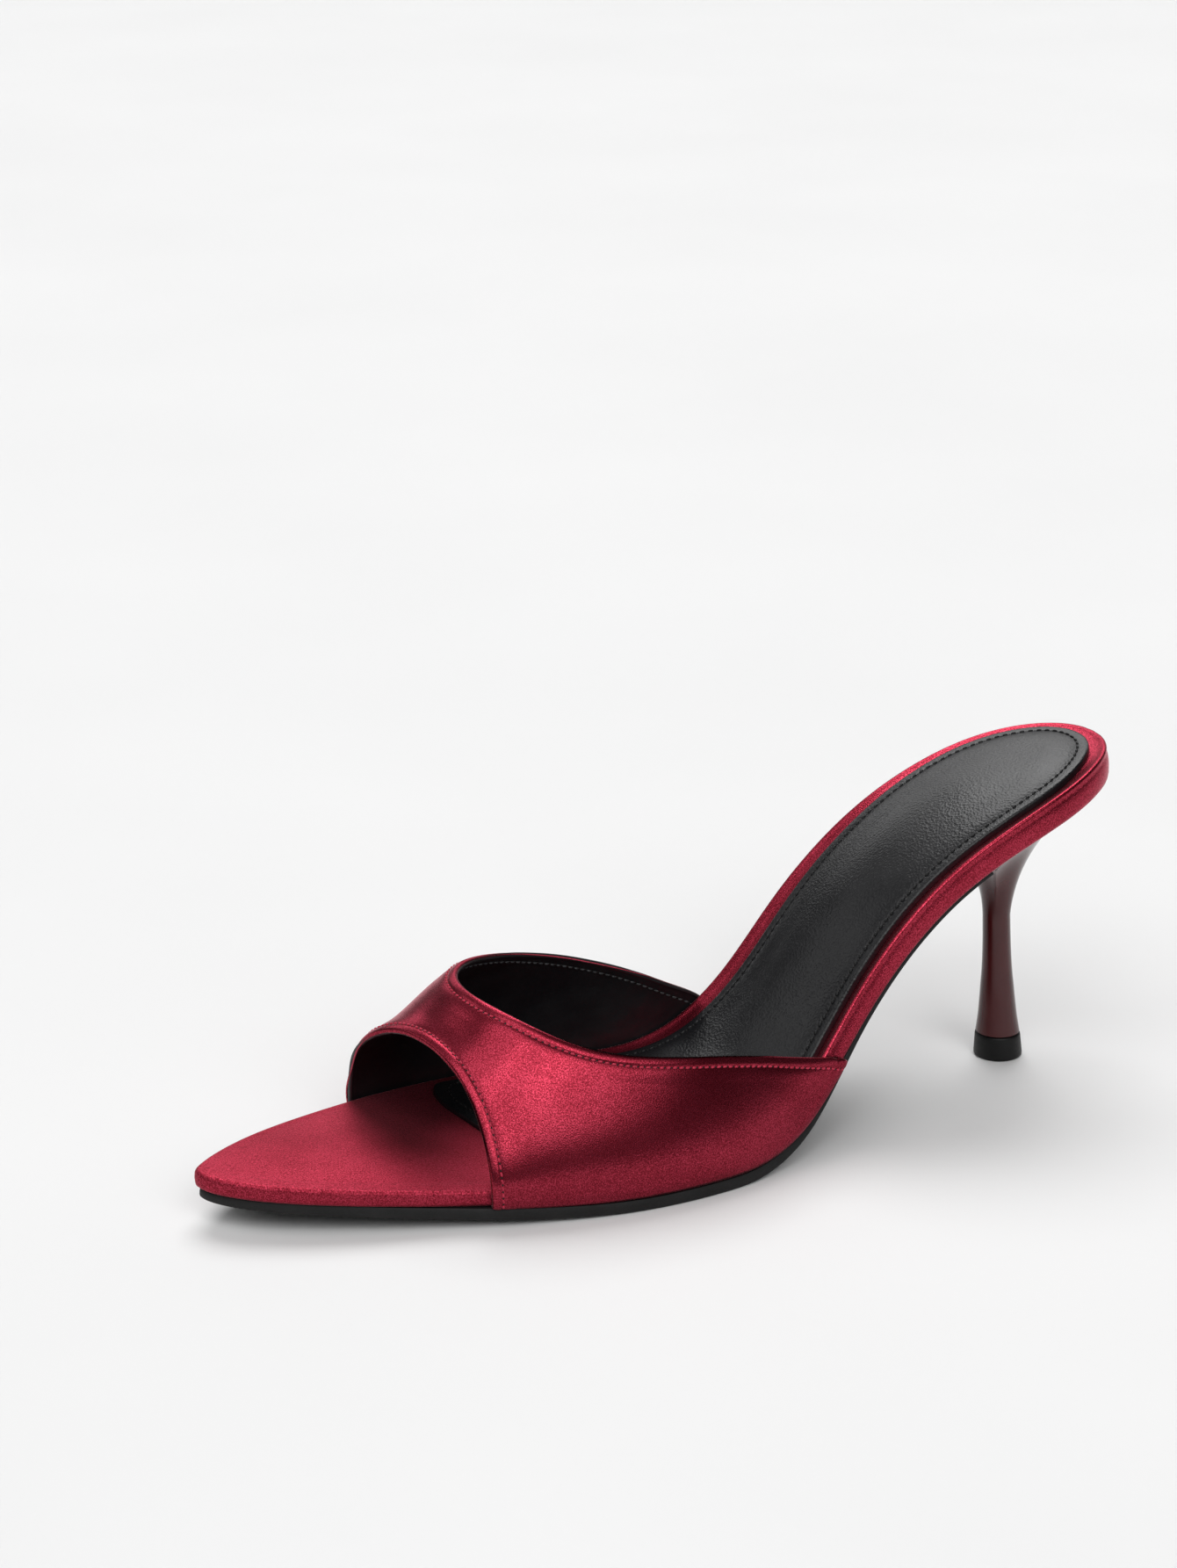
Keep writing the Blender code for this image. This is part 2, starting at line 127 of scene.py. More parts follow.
# Rim as the satin is drawn over it: height and groove of the rolled ridge behind the toe, drop
# of the rounded edge at the toe, and depth of the gathers there
DRAWN_RIM = table("inset height raised groove drop gather", [
    (1.00, 0.00, 0.00, 0.00, 0.00, 0.0),
    (0.45, 0.08, 0.00, 0.00, 0.00, 0.0),
    (0.20, 0.20, 0.00, 0.00, 0.00, 0.0),
    (0.05, 0.38, 0.00, 0.00, 0.00, 0.0),
    (0.00, 0.54, 0.00, 0.00, 0.00, 0.2),
    (0.01, 0.68, 0.00, 0.06, -0.04, 0.5),
    (0.04, 0.77, 0.00, 0.18, -0.10, 0.8),
    (0.10, 0.83, 0.00, 0.22, -0.15, 1.0),
    (0.20, 0.89, 0.00, 0.04, -0.20, 1.0),
    (0.34, 0.94, 0.03, -0.16, -0.24, 1.0),
    (0.52, 0.98, 0.08, -0.28, -0.26, 1.0),
    (0.74, 1.00, 0.18, -0.30, -0.25, 0.9),
    (1.00, 1.00, 0.26, -0.26, -0.20, 0.7),
    (1.26, 1.00, 0.22, -0.20, -0.15, 0.5),
    (1.60, 1.00, 0.02, -0.10, -0.10, 0.2),
    (2.20, 1.00, -0.22, 0.00, -0.04, 0.0),
    (3.20, 1.00, -0.34, 0.00, 0.00, 0.0),
])

# Stations over which the ridge begins, and over which the crown of the toe rises and falls
RIDGE_START = (60.0, 110.0)
TOE_RISE = (3.0, 32.0)
TOE_FALL = (38.0, 72.0)
TOE_CROWN = 0.9

# Padded sock: margin to the footbed's plan on both sides
SOCK = table("share lateral medial", [
    (0.255, 4.0, 5.0),
    (0.450, 3.2, 6.0),
    (0.620, 3.2, 6.6),
    (0.760, 3.3, 5.6),
    (0.900, 3.2, 4.0),
    (1.000, 4.2, 4.2),
])

# Front end of the sock: its station, the length of its round corners, its slant and where that fades
SOCK_START = 68.0
SOCK_CORNER = 6.5
SOCK_SLANT = 0.2
SLANT_LENGTH = 40.0

# Section of the sock: height above the footbed at a distance from its edge
SOCK_SECTION = table("inset height", [
    (0.00, -0.25),
    (0.00, 0.75),
    (0.12, 1.05),
    (0.40, 1.22),
    (0.90, 1.30),
    (1.60, 1.30),
    (2.00, 1.29),
    (2.30, 1.25),
    (2.50, 1.22),
    (2.70, 1.27),
    (3.00, 1.40),
    (3.60, 1.62),
    (4.60, 1.88),
    (6.00, 2.14),
    (7.60, 2.34),
    (9.50, 2.50),
])

# Height of the sock's middle, length over which its crown fades at both ends, and the seam's row
SOCK_TOP = 3.40
SOCK_EASE = 24.0
SOCK_SEAM_ROW = 8

# Outsole: inset from the plan and depth of its lower face below the profile
OUTSOLE = table("share inset depth", [
    (0.00, 1.3, 2.3),
    (0.10, 1.0, 2.3),
    (0.18, 0.2, 2.3),
    (0.25, -1.0, 2.3),
    (0.40, -1.6, 2.3),
    (0.45, -1.6, 2.3),
    (0.50, -1.1, 2.2),
    (0.55, -0.2, 2.0),
    (0.65, 1.2, 1.5),
    (0.85, 1.4, 1.3),
])
OUTSOLE_EDGE = table("inset depth", [
    (0.85, 1.00),
    (0.40, 0.97),
    (0.14, 0.88),
    (0.02, 0.72),
    (0.00, 0.45),
    (0.06, 0.12),
    (0.25, 0.00),
])

# Lean of the vamp's walls, as a share of the footbed's slope
VAMP_LEAN = 0.3

# Arch of the vamp above the footbed's rim: rise and sideways place of its crown
ARCH = table("share rise crown", [
    (0.160, 18.0, 1.0),
    (0.188, 24.0, 1.0),
    (0.215, 27.4, 0.5),
    (0.243, 33.2, 0.0),
    (0.270, 38.1, 0.0),
    (0.310, 42.0, -0.5),
    (0.360, 44.5, -1.0),
    (0.420, 46.2, -2.0),
    (0.470, 44.8, -2.0),
    (0.530, 36.9, -1.0),
    (0.600, 23.9, 0.0),
    (0.660, 8.3, 0.0),
])

# Ribs of the vamp from its toe edge to its collar: station and girth angle at both ends.
# The girth runs from the outer rim (0) over the crown (90) to the inner rim (180), and
# the margins below the rims reach down to the outsole at -10 and 190
RIBS = table("front front_girth collar collar_girth", [
    (56.4, -10, 151.7, -10.0),
    (56.0, 0, 150.5, 0.0),
    (55.7, 13, 145.2, 10.2),
    (55.4, 25, 138.0, 19.2),
    (55.1, 34, 129.8, 25.3),
    (54.9, 41, 120.7, 28.6),
    (54.6, 47.5, 109.5, 31.0),
    (54.2, 55, 95.8, 35.0),
    (53.5, 64, 80.4, 42.9),
    (52.6, 74.5, 69.0, 58.4),
    (51.4, 86, 63.4, 81.5),
    (50.2, 97, 64.9, 104.5),
    (49.0, 107, 73.0, 120.4),
    (47.8, 117, 84.4, 130.2),
    (47.2, 128, 95.4, 138.0),
    (47.2, 139, 104.5, 143.9),
    (47.6, 150, 112.4, 148.3),
    (48.2, 161, 121.6, 152.2),
    (48.5, 170, 130.5, 158.4),
    (48.7, 176, 138.7, 168.3),
    (48.8, 180, 144.2, 180.0),
    (49.6, 190, 145.4, 190.0),
])

# Folded edges of the vamp: height of the satin at a distance from the edge
FOLD = table("distance height", [
    (0.00, 0.00),
    (0.35, 0.06),
    (0.75, 0.10),
    (1.15, 0.09),
    (1.40, 0.04),
    (1.60, -0.03),
    (1.80, -0.08),
    (2.05, -0.03),
    (2.40, 0.03),
    (3.30, 0.06),
    (4.20, 0.04),
    (5.40, 0.00),
])
SEAM_ROW = 6

# Turn over the vamp's edges, in degrees from the outer face: satin to past the top, lining below it
SATIN_TURN = (20, 40, 60, 80, 95)
LINING_TURN = (165, 145, 125, 105, 88, 76)
EDGE_BULGE = 0.75

# Lining: how far it lies inside the wall, its share of the seam's dip, and its tuck at the edges
LINING_SINK = 0.15
LINING_DIP = 0.6
LINING_TUCK = 0.97

# Soft trough along both sides of the vamp: height of the satin at a girth from the rim
TROUGH = table("girth height", [
    (-10, 0.00),
    (0, 0.25),
    (4, 0.48),
    (7, 0.46),
    (10, 0.28),
    (14, -0.04),
    (20, -0.50),
    (26, -0.82),
    (33, -0.88),
    (43, -0.58),
    (56, -0.15),
    (70, 0.00),
    (90, 0.00),
])
TROUGH_FADE = (112.0, 140.0)

# Cloth that lies on the full height of the rim, and on one degree of the vamp's girth
RIM_CLOTH = 4.0
GIRTH_CLOTH = 0.62

# Heel stem: radius at a height above the floor
STEM = table("height radius", [
    (6.2, 5.2),
    (10.5, 4.6),
    (14.2, 4.25),
    (17.8, 3.95),
    (21.4, 3.65),
    (25.0, 3.45),
    (30.5, 3.3),
    (36.0, 3.25),
])

# Flare of the heel: margin of its seat, and how high the back and the front of the flare stay slim
SEAT_INSET = 2.0
FLARE_BACK = 0.58
FLARE_FRONT = 0.9
FLARE_LEAN = 0.08

# Top piece: radius at a height above the floor
LIFT = table("height radius", [
    (0.00, 5.15),
    (0.12, 5.50),
    (0.40, 5.70),
    (0.90, 5.72),
    (3.00, 5.55),
    (5.20, 5.38),
    (5.60, 5.30),
    (5.80, 5.15),
    (5.90, 4.90),
])

# Stitches: pitch, length and radius of the thread
VAMP_STITCH = (1.55, 1.08, 0.26)
LINING_STITCH = (1.75, 1.20, 0.25)
SOCK_STITCH = (2.00, 1.30, 0.28)

# One stitch: place of its rings along its half length with their share of the thread's thickness
STITCH_RINGS = ((-1.0, 0.15), (-0.8, 0.75), (-0.35, 1.0), (0.35, 1.0), (0.8, 0.75), (1.0, 0.15))
STITCH_SIDES = 6
STITCH_LIFT = 0.55
STITCH_DIP = 0.16
STITCH_SLANT = 0.10

# Dark discs of painted shade at the needle holes: half length and half width, height above the seam
# and share of the width sunk in it
HOLE_SHADE_SIZE = (0.30, 0.24)
HOLE_SHADE_LIFT = 0.05
HOLE_SHADE_SINK = 0.6

# Mesh steps
PROFILE_STEPS = 1008
FOOTBED_STATIONS = 260
FOOTBED_COLUMNS = 30
OUTSOLE_STATIONS = 160
SOCK_STATIONS = 220
SOCK_COLUMNS = 26
VAMP_RIBS = 270
VAMP_MIDDLE = 40
NUDGE = 0.05
HEEL_SIDES = 112
STEM_STEPS = 26
FLARE_STEPS = 30
SEAT_STEPS = 120
BREAST_STEPS = 40
LIFT_SIDES = 72
STATION_CROWD = 0.6
SHARP_ANGLE = 50.0

# Satin: base colour at a value of its fleck, a tone of the threads that varies at random; its dark and
# light ends paint shaded and lit threads, so painted shade and painted glints lie scattered over the
# weave
SATIN_SHADED_AND_LIT_THREAD_COLOURS = (
    (0.42, (0.140, 0.008, 0.016)),
    (0.50, (0.230, 0.0155, 0.030)),
    (0.58, (0.350, 0.031, 0.058)),
)
SATIN_SHEEN = (1.0, 0.46, 0.50, 1.0)
SATIN_GLANCE = (1.0, 0.60, 0.66, 1.0)
GATHER_RELIEF = 2.5

# Places along the shoe, in metres, between which the rougher satin of the toe ends
TOE_ZONE = (-0.050, -0.025)

# Values that a noise mostly keeps within
NOISE_LOW = 0.3
NOISE_HIGH = 0.7

# Stage and world, in metres
FLOOR_SIZE = 12.0
WORLD_COLOUR = (0.06, 0.06, 0.06)

# Wide soft lamps: direction towards the lamp, its width in degrees and its strength
LAMPS = {
    "key_lamp": ((-0.293, -0.657, 0.695), 40.0, 0.82),
    "right_lamp": ((0.044, -0.814, 0.580), 34.0, 0.68),
    "high_lamp": ((-0.498, -0.222, 0.839), 48.0, 0.96),
    "rear_lamp": ((-0.396, 0.472, 0.788), 56.0, 0.16),
    "side_lamp": ((-0.600, 0.600, 0.530), 26.0, 0.16),
    "back_lamp": ((0.215, 0.465, 0.859), 40.0, 1.80),
}

# Pale panel behind the shoe that only shows in reflections, in metres
PANEL_PLACE = (1.50, 2.80, 1.75)
PANEL_SIZE = (4.60, 1.60)
PANEL_GLOW = 1.50

# Camera: place in metres, turn in degrees, focal length in pixels of the image and sensor
CAMERA_PLACE = (-0.39335, -0.72153, 0.37158)
CAMERA_TURN = (90 - 19.36, 0.0, -27.32)
FOCAL_PIXELS = 4500.0
IMAGE_HEIGHT = 1785.0
SENSOR = 36.0
CLIP_START = 0.01


def spline(xs, ys):
    """Natural cubic spline through a table's rows."""
    steps = np.diff(xs)
    slopes = np.diff(ys) / steps
    matrix = np.eye(len(xs))
    right = np.zeros(len(xs))
    for row in range(1, len(xs) - 1):
        matrix[row, row - 1:row + 2] = (
            steps[row - 1],
            2 * (steps[row - 1] + steps[row]),
            steps[row],
        )
        right[row] = 6 * (slopes[row] - slopes[row - 1])
    bends = np.linalg.solve(matrix, right)

    def value(x):
        i = np.clip(np.searchsorted(xs, x, side="right") - 1, 0, len(xs) - 2)
        d = x - xs[i]
        first = slopes[i] - steps[i] * (2 * bends[i] + bends[i + 1]) / 6
        cubic = (bends[i + 1] - bends[i]) / (6 * steps[i])
        return ys[i] + d * (first + d * (bends[i] / 2 + d * cubic))

    return value


def steady(xs, ys):
    """Smooth curve through a table's rows that never overshoots them."""
    steps = np.diff(xs)
    slopes = np.diff(ys) / steps
    tangents = np.concatenate(([slopes[0]], np.zeros(len(xs) - 2), [slopes[-1]]))
    for row in range(1, len(xs) - 1):
        before, after = slopes[row - 1], slopes[row]
        if before * after > 0:
            tangents[row] = 2 * before * after / (before + after)

    def value(x):
        i = np.clip(np.searchsorted(xs, x, side="right") - 1, 0, len(xs) - 2)
        t = np.clip((x - xs[i]) / steps[i], 0, 1)
        rise = t * t * (3 - 2 * t)
        start = t * (1 - t) ** 2
        end = -t * t * (1 - t)
        return (ys[i] * (1 - rise) + ys[i + 1] * rise
                + steps[i] * (start * tangents[i] + end * tangents[i + 1]))

    return value


def station_angle(share):
    """Half-circle angle whose cosine spacing rounds both ends of the plan."""
    return np.arccos(np.clip(1 - 2 * np.asarray(share, dtype=float), -1, 1))


lateral_curve = spline(station_angle(PLAN["share"]), PLAN["lateral"])
medial_curve = spline(station_angle(PLAN["share"]), PLAN["medial"])
slope_curve = steady(PROFILE["share"], PROFILE["slope"])
underside_curve = steady(BOARD["share"], BOARD["underside"])
top_curve = steady(BOARD["share"], BOARD["top"])
rise_curve = spline(ARCH["share"], ARCH["rise"])
crown_curve = steady(ARCH["share"], ARCH["crown"])
rib_curves = {name: spline(np.arange(len(RIBS[name])), RIBS[name]) for name in RIBS}
rim_inset = steady(RIM["height"], RIM["inset"])
sock_lateral = steady(SOCK["share"], SOCK["lateral"])
sock_medial = steady(SOCK["share"], SOCK["medial"])
outsole_inset = steady(OUTSOLE["share"], OUTSOLE["inset"])
outsole_depth = steady(OUTSOLE["share"], OUTSOLE["depth"])
stem_radius = steady(STEM["height"], STEM["radius"])
trough_curve = spline(TROUGH["girth"], TROUGH["height"])


def lateral(s):
    return lateral_curve(station_angle(s / FOOTBED_LENGTH))


def medial(s):
    return medial_curve(station_angle(s / FOOTBED_LENGTH))


def underside(s):
    return underside_curve(s / FOOTBED_LENGTH)


def top(s):
    return top_curve(s / FOOTBED_LENGTH)


def rim_height(s, share):
    """Height of the footbed's rim at a share of its thickness."""
    return underside(s) + share * (top(s) - underside(s))


def ease(x, start, end):
    """Smooth step from 0 at the start to 1 at the end."""
    t = np.clip((x - start) / (end - start), 0, 1)
    return t * t * (3 - 2 * t)


def arc(share):
    """Rise of a low arc: 0 at both edges and 1 in the middle."""
    return 4 * share * (1 - share)


def unit(rows):
    """Rows of vectors at length one."""
    return rows / np.linalg.norm(rows, axis=-1)[..., None]


def dot(first, second):
    """Products of rows of vectors."""
    return np.sum(first * second, axis=-1)


def trace_profile():
    """Stations, places and slopes along the footbed's underside, tread just above the floor."""
    s = np.linspace(0, FOOTBED_LENGTH, PROFILE_STEPS + 1)
    slope = np.radians(slope_curve(s / FOOTBED_LENGTH))
    step = np.diff(s)
    middle = (slope[1:] + slope[:-1]) / 2
    x = np.concatenate(([0], np.cumsum(np.cos(middle) * step)))
    z = np.concatenate(([0], np.cumsum(np.sin(middle) * step)))
    return s, x, z - z.min() + TREAD_DEPTH, slope


TRACE_S, TRACE_X, TRACE_Z, TRACE_SLOPE = trace_profile()


def bend(s, y, n):
    """Bend pattern points along the profile: rows of x, y, z in millimetres."""
    s, y, n = np.broadcast_arrays(*(np.asarray(part, dtype=float) for part in (s, y, n)))
    inside = np.clip(s, 0, FOOTBED_LENGTH)
    slope = np.interp(inside, TRACE_S, TRACE_SLOPE)
    x = np.interp(inside, TRACE_S, TRACE_X) + (s - inside) * np.cos(slope)
    z = np.interp(inside, TRACE_S, TRACE_Z) + (s - inside) * np.sin(slope)
    return np.stack((x - n * np.sin(slope), y, z + n * np.cos(slope)), axis=-1)


class Shell:
    """Points, faces and cloth coordinates of one surface."""

    def __init__(self):
        self.points = []
        self.faces = []
        self.cloth = []

    def add(self, places, cloth=None):
        """Add rows of points and give their numbers."""
        places = np.atleast_2d(places)
        first = len(self.points)
        self.points.extend(map(tuple, places))
        self.cloth.extend(map(tuple, places if cloth is None else np.atleast_2d(cloth)))
        return list(range(first, len(self.points)))

    def bridge(self, lower, upper):
        """Faces between two rings that run counterclockwise seen from above."""
        for k in range(len(lower)):
            after = (k + 1) % len(lower)
            self.faces.append((lower[k], lower[after], upper[after], upper[k]))

    def strip(self, row, after, flip):
        """Faces between two open rows; a row of one point makes a fan."""
        for k in range(max(len(row), len(after)) - 1):
            corners = [row[min(k, len(row) - 1)], after[min(k, len(after) - 1)]]
            if len(after) > 1:
                corners.append(after[k + 1])
            if len(row) > 1:
                corners.append(row[k + 1])
            self.faces.append(tuple(corners[::-1] if flip else corners))


def inward(width, s, side):
    """Inward direction of one side of the plan, as parts along s and across."""
    near = np.clip(s, NUDGE, FOOTBED_LENGTH - NUDGE)
    slope = (width(near + NUDGE / 2) - width(near - NUDGE / 2)) / NUDGE
    length = np.hypot(slope, 1)
    return slope / length, -side / length


def plan_ring(stations, outer_inset, inner_inset=None, end_tip=True):
    """Pattern points of the plan's outline, moved inwards, counterclockwise from the toe end."""
    inner_inset = outer_inset if inner_inset is None else inner_inset
    outer_inset = np.broadcast_to(outer_inset, stations.shape)
    inner_inset = np.broadcast_to(inner_inset, stations.shape)
    along, across = inward(lateral, stations, -1)
    outer_s = stations + along * outer_inset
    outer_y = -lateral(stations) + across * outer_inset
    along, across = inward(medial, stations, 1)
    inner_s = stations + along * inner_inset
    inner_y = medial(stations) + across * inner_inset
    outer_y[0] = 0.0
    if end_tip:
        outer_y[-1] = 0.0
    else:
        outer_s[-1] = stations[-1]
        inner_s[-1] = stations[-1]
    back = slice(-2, 0, -1) if end_tip else slice(None, 0, -1)
    return np.concatenate((outer_s, inner_s[back])), np.concatenate((outer_y, inner_y[back]))


def cover(shell, ring, pattern, columns, height, flip):
    """Close a ring with rows across it, at the height that a function gives."""
    s, y = pattern
    count = len(ring)
    rows = [[ring[0]]]
    for k in range(1, (count + 1) // 2):
        partner = count - k
        share = np.arange(1, columns) / columns
        mid_s = s[k] + (s[partner] - s[k]) * share
        mid_y = y[k] + (y[partner] - y[k]) * share
        middle = []
        if columns > 1:
            flat = np.stack((mid_s, mid_y, 0 * mid_s), axis=-1)
            middle = shell.add(bend(mid_s, mid_y, height(mid_s, share)), flat)
        rows.append([ring[k]] + middle + [ring[partner]])
    if count % 2 == 0:
        rows.append([ring[count // 2]])
    for row, after in zip(rows, rows[1:]):
        shell.strip(row, after, flip)


def cosine_stations(start, end, count):
    """Stations that crowd towards both ends."""
    turn = np.linspace(0, np.pi, count + 1)
    return start + (end - start) * (1 - np.cos(turn)) / 2


def even_stations(start, end, count):
    """Stations mostly evenly spaced, crowded a little towards both ends."""
    even = np.linspace(start, end, count + 1)
    return even + (cosine_stations(start, end, count) - even) * STATION_CROWD


def build_footbed():
    """The footbed with its satin drawn over the rim."""
    shell = Shell()
    stations = even_stations(0, FOOTBED_LENGTH, FOOTBED_STATIONS)
    rings = []
    patterns = []
    behind_toe = ease(stations, *RIDGE_START)
    for inset, height, raised, groove, drop, gather in zip(*DRAWN_RIM.values()):
        s, y = plan_ring(stations, inset + groove * behind_toe)
        behind = ease(s, *RIDGE_START)
        flat = np.stack((s, y + np.sign(y) * height * RIM_CLOTH, gather * (1 - behind)), axis=-1)
        rise = raised * behind + drop * (1 - behind)
        rings.append(shell.add(bend(s, y, rim_height(s, height) + rise), flat))
        patterns.append((s, y))
    for lower, upper in zip(rings, rings[1:]):
        shell.bridge(lower, upper)

    def crown(s, share):
        swell = TOE_CROWN * ease(s, *TOE_RISE) * (1 - ease(s, *TOE_FALL))
        dip = DRAWN_RIM["raised"][-1] * ease(s, *RIDGE_START)
        return top(s) + dip + swell * arc(share)

    cover(shell, rings[0], patterns[0], 1, None, True)
    cover(shell, rings[-1], patterns[-1], FOOTBED_COLUMNS, crown, False)
    return shell


def build_outsole():
    """The outsole, from the toe to the heel breast."""
    shell = Shell()
    last_turn = station_angle(BREAST_SHARE)
    stations = FOOTBED_LENGTH * (1 - np.cos(np.linspace(0, last_turn, OUTSOLE_STATIONS + 1))) / 2
    share = stations / FOOTBED_LENGTH
    rings = []
    patterns = []
    for inset, depth in zip(OUTSOLE_EDGE["inset"], OUTSOLE_EDGE["depth"]):
        s, y = plan_ring(stations, outsole_inset(share) + inset, end_tip=False)
        upper_face = underside(s) - GAP / 2
        lower_face = -outsole_depth(s / FOOTBED_LENGTH)
        rings.append(shell.add(bend(s, y, upper_face + (lower_face - upper_face) * depth)))
        patterns.append((s, y))
    for lower, upper in zip(rings, rings[1:]):
        shell.bridge(lower, upper)
    cover(shell, rings[0], patterns[0], 1, None, True)
    cover(shell, rings[-1], patterns[-1], 1, None, False)
    return shell


def sock_ring(stations, inset):
    """Outline of the sock: the footbed's plan less a margin, with a blunt, slanted front end."""
    start = SOCK_START + inset
    shrink = (FOOTBED_LENGTH - start) / (FOOTBED_LENGTH - SOCK_START)
    stations = start + (stations - SOCK_START) * shrink
    share = stations / FOOTBED_LENGTH
    s, y = plan_ring(stations, sock_lateral(share) + inset, sock_medial(share) + inset)
    s[0] = start
    from_front = np.clip((s - s[0]) / SOCK_CORNER, 0, 1)
    y = y * np.sqrt(1 - (1 - from_front) ** 2)
    fade = np.clip(1 - (s - s[0]) / SLANT_LENGTH, 0, 1) ** 2
    return s - SOCK_SLANT * y * fade, y


def build_insole():
    """The padded sock, and the places and normals of its seam."""
    shell = Shell()
    stations = even_stations(SOCK_START, FOOTBED_LENGTH, SOCK_STATIONS)
    rings = []
    patterns = []
    seam = None
    for row, (inset, height) in enumerate(zip(SOCK_SECTION["inset"], SOCK_SECTION["height"])):
        s, y = sock_ring(stations, inset)
        places = bend(s, y, top(s) + height)
        if row == SOCK_SEAM_ROW:
            seam = (places, unit(bend(s, y, 1.0) - bend(s, y, 0.0)))
        rings.append(shell.add(places, np.stack((s, y, 0 * s), axis=-1)))
        patterns.append((s, y))
    for lower, upper in zip(rings, rings[1:]):
        shell.bridge(lower, upper)
    edge = SOCK_SECTION["height"][-1]
    front = patterns[-1][0].min()
    back = patterns[-1][0].max()

    def crown(s, share):
        fade = ease(s, front, front + SOCK_EASE) * ease(-s, -back, SOCK_EASE - back)
        return top(s) + edge + (SOCK_TOP - edge) * arc(share) * fade

    cover(shell, rings[0], patterns[0], 1, None, True)
    cover(shell, rings[-1], patterns[-1], SOCK_COLUMNS, crown, False)
    return shell, seam


def vamp_surface(s, girth):
    """Outer face of the vamp at a station and girth angle."""
    share = s / FOOTBED_LENGTH
    spring = rim_height(s, SPRING)
    crown = crown_curve(share)
    angle = np.radians(np.clip(girth, 0, 180))
    outer_half = lateral(s) + GAP + WALL + crown
    inner_half = medial(s) + GAP + WALL - crown
    y = crown - np.where(girth < 90, outer_half, inner_half) * np.cos(angle)
    below = np.clip(np.maximum(-girth, girth - 180) / MARGIN_GIRTH, 0, 1)
    tuck = np.where(below > 0, rim_inset(SPRING * (1 - below)), 0)
    foot = bend(s, y + np.where(girth < 90, tuck, -tuck), rim_height(s, SPRING * (1 - below)))
    lift = (rise_curve(share) + top(s) - spring) * np.sin(angle)
    lean = VAMP_LEAN * np.interp(s, TRACE_S, TRACE_SLOPE)
    return foot + np.stack((-lift * np.sin(lean), 0 * lift, lift * np.cos(lean)), axis=-1)


def vamp_frame(s, girth):
    """Steps along the station and the girth, and the outward normal, at points of the vamp."""
    along = (vamp_surface(s + NUDGE, girth) - vamp_surface(s - NUDGE, girth)) / (2 * NUDGE)
    around = (vamp_surface(s, girth + NUDGE) - vamp_surface(s, girth - NUDGE)) / (2 * NUDGE)
    return along, around, unit(np.cross(along, around))


def walk_in(s, girth, target):
    """Stations and girths reached by walking straight in from an edge, at the fold's distances."""
    normal = vamp_frame(s, girth)[2]
    edge = unit(np.gradient(vamp_surface(s, girth), axis=0))
    ahead = np.cross(normal, edge)
    crown = len(s) // 2
    ahead *= np.sign(dot(ahead, target - vamp_surface(s, girth))[crown])
    start = ahead
    reached = [(s, girth)]
    for step in np.diff(FOLD["distance"]):
        along, around, normal = vamp_frame(s, girth)
        ahead = unit(ahead - dot(ahead, normal)[:, None] * normal)
        stretch = dot(along, along)
        skew = dot(along, around)
        wrap = dot(around, around)
        forward = dot(ahead, along)
        sideways = dot(ahead, around)
        spread = stretch * wrap - skew * skew
        s = s + step * (forward * wrap - sideways * skew) / spread
        girth = girth + step * (sideways * stretch - forward * skew) / spread
        girth = np.clip(girth, -MARGIN_GIRTH, 180 + MARGIN_GIRTH)
        reached.append((s, girth))
    return reached, -start


def vamp_rows():
    """Rows of the vamp from its toe edge to its collar, and the ways out over both edges."""
    ribs = np.linspace(0, len(RIBS["front"]) - 1, VAMP_RIBS)
    ends = {name: curve(ribs) for name, curve in rib_curves.items()}
    middle = vamp_surface(
        (ends["front"] + ends["collar"]) / 2,
        (ends["front_girth"] + ends["collar_girth"]) / 2,
    )
    front, front_out = walk_in(ends["front"], ends["front_girth"], middle)
    collar, collar_out = walk_in(ends["collar"], ends["collar_girth"], middle)
    rows = list(front)
    fold = list(FOLD["height"])
    for share in np.arange(1, VAMP_MIDDLE) / VAMP_MIDDLE:
        rows.append(tuple(a + (b - a) * share for a, b in zip(front[-1], collar[-1])))
        fold.append(0.0)
    rows.extend(collar[::-1])
    fold.extend(FOLD["height"][::-1])
    return rows, fold, front_out, collar_out


def build_vamp():
    """Satin and lining of the vamp, and the places and normals of their seams."""
    rows, fold, front_out, collar_out = vamp_rows()
    satin = Shell()
    lining = Shell()
    s = np.array([row[0] for row in rows])
    girth = np.array([row[1] for row in rows])
    normal = vamp_frame(s, girth)[2]
    outer = vamp_surface(s, girth)
    from_rim = np.minimum(girth, 180 - girth)
    trough = trough_curve(from_rim) * (1 - ease(s, *TROUGH_FADE))
    raised = (np.array(fold)[:, None] + trough)[..., None]
    cloth = np.stack((s, girth * GIRTH_CLOTH, 0 * s), axis=-1)
    face = outer + normal * raised
    sunk = np.minimum(np.array(fold), 0)[:, None, None]
    inside = outer - normal * (WALL - LINING_SINK + sunk * LINING_DIP)
    satin_rows = [satin.add(row, flat) for row, flat in zip(face, cloth)]
    lining_rows = [lining.add(row, flat) for row, flat in zip(inside, cloth)]
    for row, after in zip(satin_rows, satin_rows[1:]):
        satin.strip(row, after, True)
    for row, after in zip(lining_rows, lining_rows[1:]):
        lining.strip(row, after, False)
    for end, out in ((0, front_out), (-1, collar_out)):
        rest = (normal[end], out, cloth[end])
        round_off(satin, satin_rows[end], face[end], *rest, SATIN_TURN, 1.0)
        round_off(lining, lining_rows[end], outer[end], *rest, LINING_TURN, LINING_TUCK)
    seams = {
        "front": (face[SEAM_ROW], normal[SEAM_ROW]),
        "collar": (face[-1 - SEAM_ROW], normal[-1 - SEAM_ROW]),
        "lining": (inside[-2 - SEAM_ROW], -normal[-2 - SEAM_ROW]),
    }
    return satin, lining, seams


